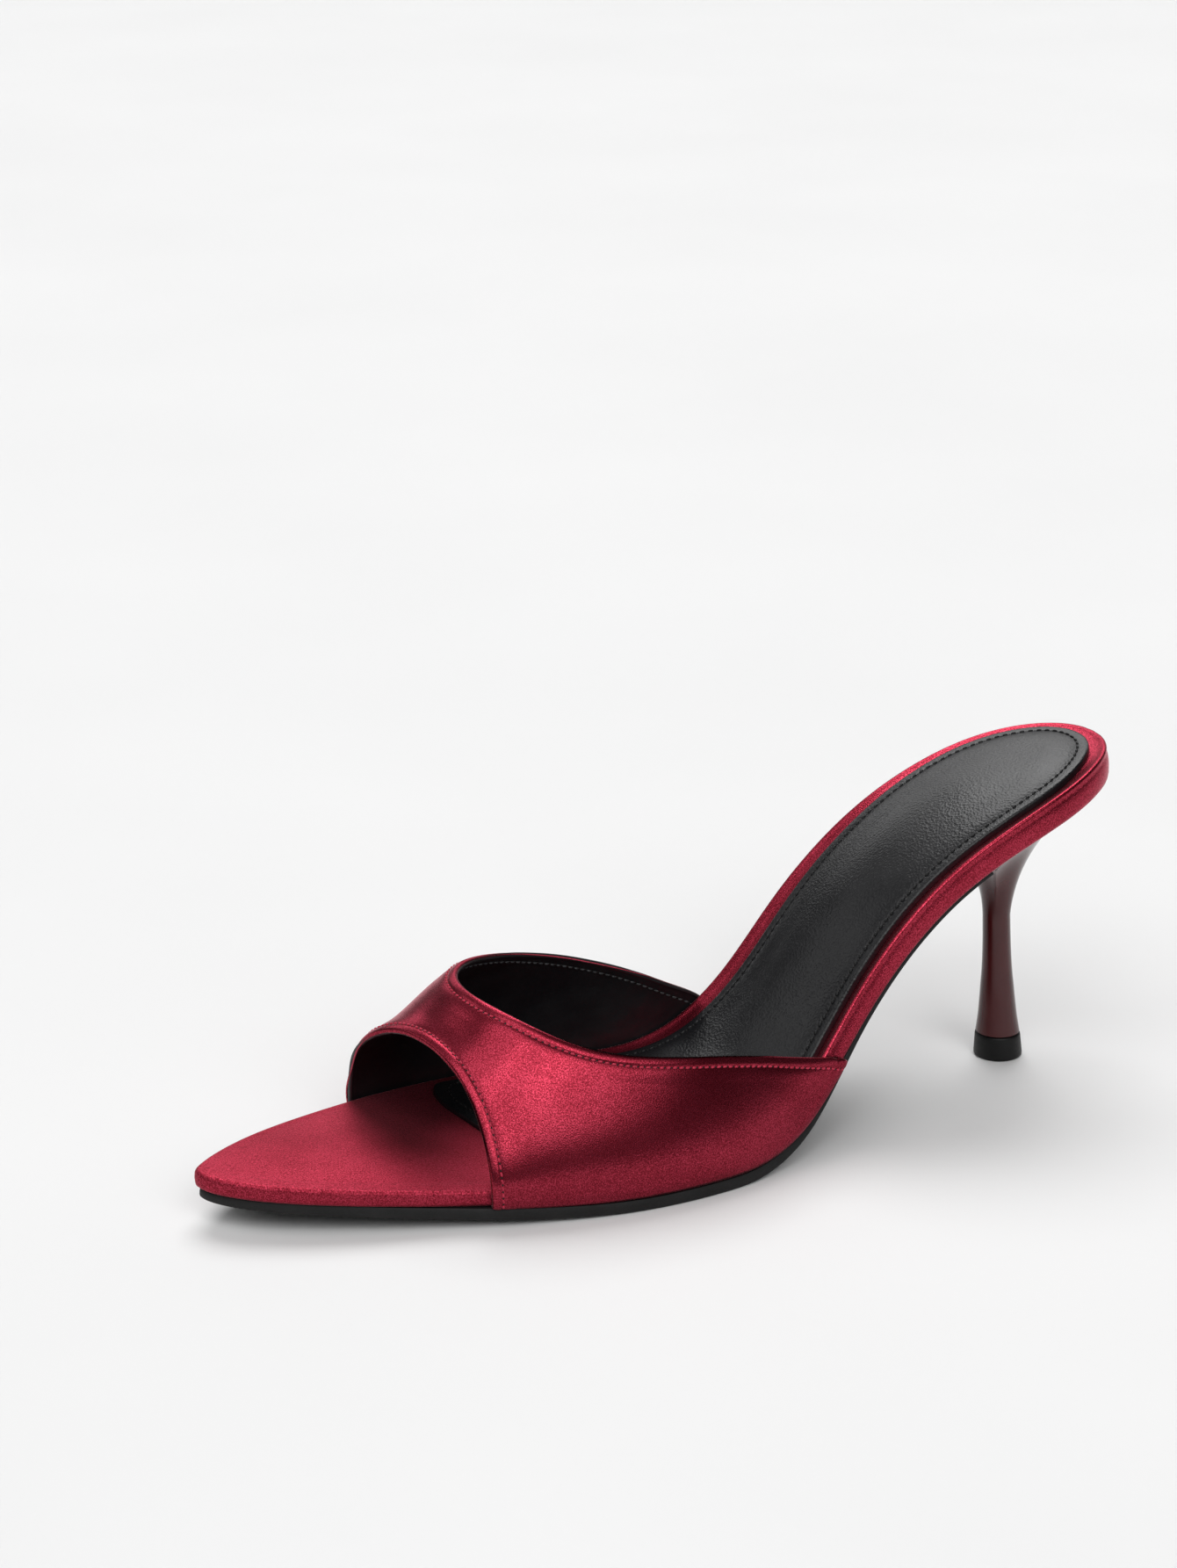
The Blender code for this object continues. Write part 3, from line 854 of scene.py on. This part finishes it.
def round_off(shell, row, edge, normal, out, cloth, turns, tuck):
    """Carry a row of the vamp over its rounded edge, tucked in to a share of its radius."""
    radius = WALL / 2
    for turn in np.radians(turns):
        places = edge - normal * radius * (1 - tuck * np.cos(turn))
        places = places + out * radius * tuck * EDGE_BULGE * np.sin(turn)
        after = shell.add(places, cloth)
        shell.strip(row, after, False)
        row = after


def seat_ring(turns):
    """Points of the heel seat under the footbed, at given angles around the heel's axis."""
    breast = BREAST_SHARE * FOOTBED_LENGTH + GAP
    stations = cosine_stations(breast, FOOTBED_LENGTH - SEAT_INSET, SEAT_STEPS)
    room = (stations - breast) * (FOOTBED_LENGTH - breast) / (stations[-1] - breast) + breast
    across = np.linspace(-1, 1, BREAST_STEPS + 1)[1:-1]
    outer_side = np.clip(lateral(room) - SEAT_INSET, 0, None)
    inner_side = np.clip(medial(room) - SEAT_INSET, 0, None)
    front = np.where(across < 0, outer_side[0], inner_side[0]) * across
    s = np.concatenate((stations, stations[-2::-1], np.full(len(front), breast)))
    y = np.concatenate((-outer_side, inner_side[-2::-1], -front))
    places = bend(s, y, -GAP)
    angle = np.mod(np.arctan2(places[:, 1], places[:, 0] - HEEL_AXIS_X), 2 * np.pi)
    order = np.argsort(angle)
    ring_s = np.interp(turns, angle[order], s[order], period=2 * np.pi)
    ring_y = np.interp(turns, angle[order], y[order], period=2 * np.pi)
    return bend(ring_s, ring_y, -GAP / 2)


def circle(turns, radius, height):
    """Level circle around the heel's axis, which leans forward a little."""
    return np.stack((
        HEEL_AXIS_X - HEEL_LEAN * height + radius * np.cos(turns),
        radius * np.sin(turns),
        np.full(len(turns), height),
    ), axis=-1)


def build_heel():
    """The stem of the heel and its flare up to the seat."""
    shell = Shell()
    turns = np.arange(HEEL_SIDES) * 2 * np.pi / HEEL_SIDES
    heights = np.linspace(STEM["height"][0], STEM["height"][-1], STEM_STEPS)
    rings = [circle(turns, stem_radius(height), height) for height in heights]
    start = rings[-1]
    seat = seat_ring(turns)
    flare = FLARE_BACK + (FLARE_FRONT - FLARE_BACK) * ((1 - np.cos(turns)) / 2) ** 2
    lean = np.full(HEEL_SIDES, FLARE_LEAN)
    knee = start + (seat - start) * np.stack((lean, lean, flare), axis=-1)
    for share in np.arange(1, FLARE_STEPS + 1) / FLARE_STEPS:
        rings.append((1 - share) ** 2 * start + 2 * share * (1 - share) * knee + share ** 2 * seat)
    numbers = [shell.add(ring) for ring in rings]
    for lower, upper in zip(numbers, numbers[1:]):
        shell.bridge(lower, upper)
    close_ends(shell, numbers)
    return shell


def close_ends(shell, numbers):
    """Close a stack of rings with rows across its first and last ring."""
    count = len(numbers[0])
    for ring, flip in ((numbers[0], True), (numbers[-1], False)):
        rows = [[ring[0]]]
        for k in range(1, count // 2):
            rows.append([ring[k], ring[count - k]])
        rows.append([ring[count // 2]])
        for row, after in zip(rows, rows[1:]):
            shell.strip(row, after, not flip)


def build_top_piece():
    """The lift under the heel."""
    shell = Shell()
    turns = np.arange(LIFT_SIDES) * 2 * np.pi / LIFT_SIDES
    numbers = [shell.add(circle(turns, radius, height))
               for height, radius in zip(LIFT["height"], LIFT["radius"])]
    for lower, upper in zip(numbers, numbers[1:]):
        shell.bridge(lower, upper)
    close_ends(shell, numbers)
    return shell


def build_stitches(places, normals, size, closed):
    """A row of short thread stitches along a seam, and dark discs of painted shade at the needle holes
    between them.
    """
    pitch, length, radius = size
    if closed:
        places = np.concatenate((places, places[:1]))
        normals = np.concatenate((normals, normals[:1]))
    arc = np.concatenate(([0], np.cumsum(np.linalg.norm(np.diff(places, axis=0), axis=1))))
    count = int(arc[-1] / pitch)
    spots = np.arange(1, 2 * count) * arc[-1] / (2 * count)
    headings = unit(np.gradient(places, axis=0))
    thread = Shell()
    hole_shade_discs = Shell()
    for number, spot in enumerate(spots):
        centre, up, ahead = (
            np.array([np.interp(spot, arc, rows[:, axis]) for axis in range(3)])
            for rows in (places, normals, headings)
        )
        side = unit(np.cross(up, ahead))
        up = unit(np.cross(ahead, side))
        ahead = unit(ahead + STITCH_SLANT * side)
        stitch = number % 2 == 0
        # Between the stitches, a dark disc of painted shade stands for the needle hole
        shell = thread if stitch else hole_shade_discs
        half = length / 2 if stitch else HOLE_SHADE_SIZE[0]
        width = radius if stitch else HOLE_SHADE_SIZE[1]
        rings = []
        for along, thickness in STITCH_RINGS:
            lift = HOLE_SHADE_LIFT - width * HOLE_SHADE_SINK
            if stitch:
                lift = radius * STITCH_LIFT - STITCH_DIP * along ** 2
            middle = centre + ahead * along * half + up * lift
            turns = np.arange(STITCH_SIDES) * 2 * np.pi / STITCH_SIDES
            ring = [middle + width * thickness * (np.cos(t) * side + np.sin(t) * up) for t in turns]
            rings.append(shell.add(np.array(ring)))
        for lower, upper in zip(rings, rings[1:]):
            shell.bridge(lower, upper)
        shell.faces.append(tuple(rings[0]))
        shell.faces.append(tuple(rings[-1]))
    return thread, hole_shade_discs


class Shade:
    """Builder of one procedural material."""

    def __init__(self, name):
        self.material = bpy.data.materials.new(name)
        self.material.use_nodes = True
        self.tree = self.material.node_tree
        self.shader = self.tree.nodes["Principled BSDF"]

    def node(self, kind, settings=None, **links):
        """A node with its settings; links are values or sockets for its inputs, by name."""
        made = self.tree.nodes.new(kind)
        for name, value in (settings or {}).items():
            setattr(made, name, value)
        for name, value in links.items():
            self.feed(made, name.replace("_", " "), value)
        return made

    def feed(self, made, name, value):
        socket = made.inputs[int(name)] if name.isdigit() else made.inputs[name]
        if isinstance(value, bpy.types.NodeSocket):
            self.tree.links.new(value, socket)
        else:
            socket.default_value = value

    def set(self, **values):
        for name, value in values.items():
            self.feed(self.shader, name.replace("_", " "), value)

    def place(self):
        return self.node("ShaderNodeTexCoord").outputs["Object"]

    def cloth(self, scale):
        flat = self.node("ShaderNodeAttribute", {"attribute_name": "cloth"}).outputs["Vector"]
        return self.node("ShaderNodeMapping", Vector=flat, Scale=scale).outputs["Vector"]

    def noise(self, vector, scale, detail, roughness=0.5):
        made = self.node("ShaderNodeTexNoise", Vector=vector, Scale=scale, Detail=detail,
                         Roughness=roughness)
        return made.outputs["Fac"]

    def math(self, operation, first, second):
        made = self.node("ShaderNodeMath", {"operation": operation})
        self.feed(made, "0", first)
        self.feed(made, "1", second)
        return made.outputs[0]

    def ramp(self, fac, stops):
        made = self.node("ShaderNodeValToRGB", Fac=fac)
        band = made.color_ramp
        while len(band.elements) < len(stops):
            band.elements.new(0.5)
        for element, (position, colour) in zip(band.elements, stops):
            element.position = position
            element.color = (*colour, 1.0)
        return made.outputs["Color"]

    def blend(self, fac, dark, light):
        """Colour between two, over the values that a noise mostly takes."""
        return self.ramp(fac, [(NOISE_LOW, dark), (NOISE_HIGH, light)])

    def weigh(self, first, second, share):
        """Sum of two values: the second at a share, the first at the rest."""
        rest = self.math("MULTIPLY", first, 1 - share)
        return self.math("ADD", rest, self.math("MULTIPLY", second, share))

    def span(self, fac, low, high, start=NOISE_LOW, end=NOISE_HIGH):
        made = self.node("ShaderNodeMapRange", Value=fac)
        for name, value in (("From Min", start), ("From Max", end), ("To Min", low), ("To Max", high)):
            made.inputs[name].default_value = value
        return made.outputs["Result"]

    def bump(self, height, strength, distance, below=None):
        made = self.node("ShaderNodeBump", Height=height, Strength=strength, Distance=distance)
        if below is not None:
            self.feed(made, "Normal", below)
        return made.outputs["Normal"]


def satin_material(name, relief, painted_light_gain, toe_roughness=None):
    """Satin of fine threads, its colours scaled by a gain that paints light; the flat toe of the
    footbed scatters more and is gathered at its rim.
    """
    shade = Shade(name)
    place = shade.place()
    grain = shade.noise(place, scale=3300.0, detail=1.5, roughness=0.6)
    thread = shade.noise(shade.cloth((5.0, 3.2, 0.0)), scale=1.0, detail=1.5, roughness=0.6)
    cloud = shade.noise(place, scale=70.0, detail=2.0)
    fleck = shade.weigh(grain, thread, 0.4)
    # Fleck and cloud pick the colour: the threads' random tone, with painted shade and painted glints
    # at random places
    stops = [(stop, tuple(painted_light_gain * part for part in colour)) for stop, colour in SATIN_SHADED_AND_LIT_THREAD_COLOURS]
    colour = shade.ramp(shade.weigh(fleck, cloud, 0.15), stops)
    rough = shade.span(fleck, low=0.33, high=0.20, start=0.38, end=0.62)
    height = fleck
    if toe_roughness:
        ahead = shade.node("ShaderNodeSeparateXYZ", Vector=place).outputs["X"]
        rough = shade.math("ADD", rough, shade.span(ahead, toe_roughness, 0.0, *TOE_ZONE))
        deep = shade.node("ShaderNodeSeparateXYZ", Vector=shade.cloth((1.0, 1.0, 1.0))).outputs["Z"]
        gather = shade.noise(shade.cloth((1.7, 0.3, 0.0)), scale=1.0, detail=1.0)
        gather = shade.math("MULTIPLY", shade.math("MULTIPLY", gather, deep), GATHER_RELIEF)
        height = shade.math("ADD", fleck, gather)
    shade.set(Base_Color=colour, Roughness=rough, Metallic=0.94, Specular_IOR_Level=0.5)
    shade.set(Sheen_Weight=0.35, Sheen_Roughness=0.3, Sheen_Tint=SATIN_SHEEN)
    shade.set(Specular_Tint=SATIN_GLANCE)
    shade.set(Normal=shade.bump(height, relief, distance=0.00012))
    return shade.material


def sock_material():
    """Black grained leather."""
    shade = Shade("black_sock_leather")
    place = shade.place()
    pebble = shade.node("ShaderNodeTexVoronoi", {"feature": "SMOOTH_F1"}, Vector=place, Scale=1900.0)
    pore = shade.noise(place, scale=2600.0, detail=2.0)
    broad = shade.noise(place, scale=90.0, detail=3.0)
    height = shade.math("ADD", pebble.outputs["Distance"], shade.math("MULTIPLY", pore, 0.35))
    shade.set(Base_Color=shade.blend(broad, dark=(0.004, 0.004, 0.005), light=(0.008, 0.008, 0.009)))
    shade.set(Roughness=shade.span(broad, low=0.28, high=0.36), Specular_IOR_Level=0.32)
    shade.set(Normal=shade.bump(height, strength=0.4, distance=0.00022))
    return shade.material


def lining_material():
    """Soft black lining."""
    shade = Shade("black_lining")
    place = shade.place()
    pore = shade.noise(place, scale=1500.0, detail=3.0, roughness=0.6)
    soft = shade.noise(place, scale=130.0, detail=2.0)
    shade.set(Base_Color=shade.blend(soft, dark=(0.004, 0.004, 0.005), light=(0.009, 0.009, 0.010)))
    shade.set(Roughness=shade.span(pore, low=0.36, high=0.48))
    broad = shade.bump(soft, strength=0.5, distance=0.0008)
    shade.set(Normal=shade.bump(pore, strength=0.25, distance=0.00015, below=broad))
    return shade.material


def outsole_material():
    """Matt black outsole."""
    shade = Shade("matte_outsole")
    place = shade.place()
    grain = shade.noise(place, scale=1800.0, detail=4.0, roughness=0.65)
    cloud = shade.noise(place, scale=120.0, detail=2.0)
    shade.set(Base_Color=shade.blend(cloud, dark=(0.005, 0.005, 0.005), light=(0.010, 0.010, 0.010)))
    shade.set(Roughness=shade.span(grain, low=0.55, high=0.72), Specular_IOR_Level=0.3)
    shade.set(Normal=shade.bump(grain, strength=0.3, distance=0.00012))
    return shade.material


def lacquer_material():
    """Dark burgundy lacquer under a clear coat."""
    shade = Shade("heel_lacquer")
    place = shade.place()
    cloud = shade.noise(place, scale=60.0, detail=2.0)
    ripple = shade.noise(place, scale=160.0, detail=1.0)
    shade.set(Base_Color=shade.blend(cloud, dark=(0.050, 0.005, 0.006), light=(0.070, 0.008, 0.009)))
    shade.set(Roughness=0.16, Specular_IOR_Level=0.32, Coat_Weight=0.25, Coat_Roughness=0.03)
    shade.set(Normal=shade.bump(ripple, strength=0.06, distance=0.0004))
    return shade.material


def rubber_material():
    """Smooth black rubber."""
    shade = Shade("top_piece_rubber")
    place = shade.place()
    grain = shade.noise(place, scale=1600.0, detail=3.0)
    cloud = shade.noise(place, scale=200.0, detail=2.0)
    shade.set(Base_Color=shade.blend(cloud, dark=(0.003, 0.003, 0.003), light=(0.006, 0.006, 0.006)))
    shade.set(Roughness=shade.span(grain, low=0.42, high=0.54), Specular_IOR_Level=0.25)
    shade.set(Normal=shade.bump(grain, strength=0.15, distance=0.0001))
    return shade.material


def thread_material(name, dark, light):
    """Twisted thread, also used near-black as the painted shade of the needle holes."""
    shade = Shade(name)
    twist = shade.noise(shade.place(), scale=2400.0, detail=2.0)
    shade.set(Base_Color=shade.ramp(twist, [(0.35, dark), (0.65, light)]))
    shade.set(Roughness=0.55, Specular_IOR_Level=0.3)
    shade.set(Normal=shade.bump(twist, strength=0.4, distance=0.0001))
    return shade.material


def floor_material():
    """Plain pale floor."""
    shade = Shade("pale_floor")
    cloud = shade.noise(shade.place(), scale=6.0, detail=2.0)
    shade.set(Base_Color=shade.blend(cloud, dark=(0.76, 0.76, 0.76), light=(0.78, 0.78, 0.78)))
    shade.set(Roughness=0.7, Specular_IOR_Level=0.2)
    return shade.material


def make_piece(name, shell, material, node=None):
    """A piece of the shoe that rides on its one body and may stand for a solid."""
    mesh = bpy.data.meshes.new(name)
    mesh.from_pydata(((np.array(shell.points) + SHIFT) * MM).tolist(), [], shell.faces)
    cloth = mesh.attributes.new("cloth", "FLOAT_VECTOR", "POINT")
    cloth.data.foreach_set("vector", np.array(shell.cloth, dtype=np.float32).ravel())
    work = bmesh.new()
    work.from_mesh(mesh)
    bmesh.ops.recalc_face_normals(work, faces=work.faces)
    work.to_mesh(mesh)
    work.free()
    mesh.shade_smooth()
    mesh.set_sharp_from_angle(angle=np.radians(SHARP_ANGLE))
    mesh.materials.append(material)
    piece = bpy.data.objects.new(name, mesh)
    bpy.context.collection.objects.link(piece)
    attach(piece, "root")
    if node:
        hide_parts(node)
    return piece


def dress_shoe():
    """Build every piece of the shoe."""
    satin = satin_material("burgundy_satin", relief=0.36, painted_light_gain=1.0)
    # The footbed's satin is the vamp's satin painted a quarter lighter: painted light on the
    # upward-facing footbed
    painted_lighter_satin = satin_material("footbed_satin_painted_lighter", relief=0.80, painted_light_gain=1.25, toe_roughness=0.27)
    sock = sock_material()
    red_thread = thread_material("red_thread", (0.30, 0.012, 0.032), (0.52, 0.030, 0.070))
    black_thread = thread_material("black_thread", (0.020, 0.020, 0.022), (0.070, 0.070, 0.074))
    sock_thread = thread_material("sock_thread", (0.002, 0.002, 0.002), (0.006, 0.006, 0.007))
    # Near-black discs sit at the needle holes as painted shade
    hole_shade_material = thread_material("needle_hole_painted_shade", (0.002, 0.001, 0.001), (0.006, 0.003, 0.003))
    make_piece("outsole_layer", build_outsole(), outsole_material(), "outsole")
    make_piece("footbed_satin", build_footbed(), painted_lighter_satin, "footbed")
    insole, sock_seam = build_insole()
    pad = make_piece("sock_pad", insole, sock, "insole")
    vamp, lining, seams = build_vamp()
    make_piece("vamp_satin", vamp, satin, "upper")
    make_piece("vamp_lining", lining, lining_material())
    make_piece("heel_gloss", build_heel(), lacquer_material(), "heel")
    make_piece("heel_tip", build_top_piece(), rubber_material(), "top_piece")
    rows = {
        "front": (seams["front"], VAMP_STITCH, red_thread, "satin", False),
        "collar": (seams["collar"], VAMP_STITCH, red_thread, "satin", False),
        "lining": (seams["lining"], LINING_STITCH, black_thread, "sock_leather", False),
        "sock": (sock_seam, SOCK_STITCH, sock_thread, "sock_leather", True),
    }
    for name, (seam, size, material, slot, closed) in rows.items():
        thread, hole_shade_discs = build_stitches(*seam, size, closed)
        make_piece("stitches_" + name, thread, material)
        make_piece("painted_shade_holes_" + name, hole_shade_discs, hole_shade_material)


def build_stage():
    """Wide pale floor."""
    half = FLOOR_SIZE / 2
    mesh = bpy.data.meshes.new("floor")
    corners = [(-half, -half, 0), (half, -half, 0), (half, half, 0), (-half, half, 0)]
    mesh.from_pydata(corners, [], [(0, 1, 2, 3)])
    mesh.materials.append(floor_material())
    floor = bpy.data.objects.new("floor", mesh)
    bpy.context.collection.objects.link(floor)


def aim(item, place, target):
    """Put an item at a place and turn it towards a target."""
    item.location = place
    item.rotation_euler = (Vector(target) - Vector(place)).to_track_quat("-Z", "Y").to_euler()


def build_lights():
    """Soft lamps, the panel and a dim world."""
    for name, (direction, width, strength) in LAMPS.items():
        light = bpy.data.lights.new(name, "SUN")
        light.energy = strength
        light.angle = np.radians(width)
        lamp = bpy.data.objects.new(name, light)
        bpy.context.collection.objects.link(lamp)
        aim(lamp, direction, (0, 0, 0))
    light = bpy.data.lights.new("panel", "AREA")
    light.shape = "RECTANGLE"
    light.size, light.size_y = PANEL_SIZE
    light.energy = PANEL_GLOW * np.pi * PANEL_SIZE[0] * PANEL_SIZE[1]
    panel = bpy.data.objects.new("panel", light)
    bpy.context.collection.objects.link(panel)
    aim(panel, PANEL_PLACE, (0, 0, PANEL_PLACE[2]))
    panel.visible_camera = False
    panel.visible_diffuse = False
    world = bpy.data.worlds.new("studio")
    bpy.context.scene.world = world
    world.use_nodes = True
    world.node_tree.nodes["Background"].inputs["Color"].default_value = (*WORLD_COLOUR, 1.0)


def build_camera():
    """Camera at the photo's viewing angle."""
    camera = bpy.data.cameras.new("camera")
    camera.sensor_fit = "AUTO"
    camera.sensor_width = SENSOR
    camera.lens = SENSOR * FOCAL_PIXELS / IMAGE_HEIGHT
    camera.clip_start = CLIP_START
    camera.dof.use_dof = False
    viewer = bpy.data.objects.new("camera", camera)
    bpy.context.collection.objects.link(viewer)
    viewer.location = CAMERA_PLACE
    viewer.rotation_euler = np.radians(CAMERA_TURN)
    bpy.context.scene.camera = viewer


dress_shoe()
build_stage()
build_lights()
build_camera()
bpy.context.scene.view_settings.view_transform = "Standard"
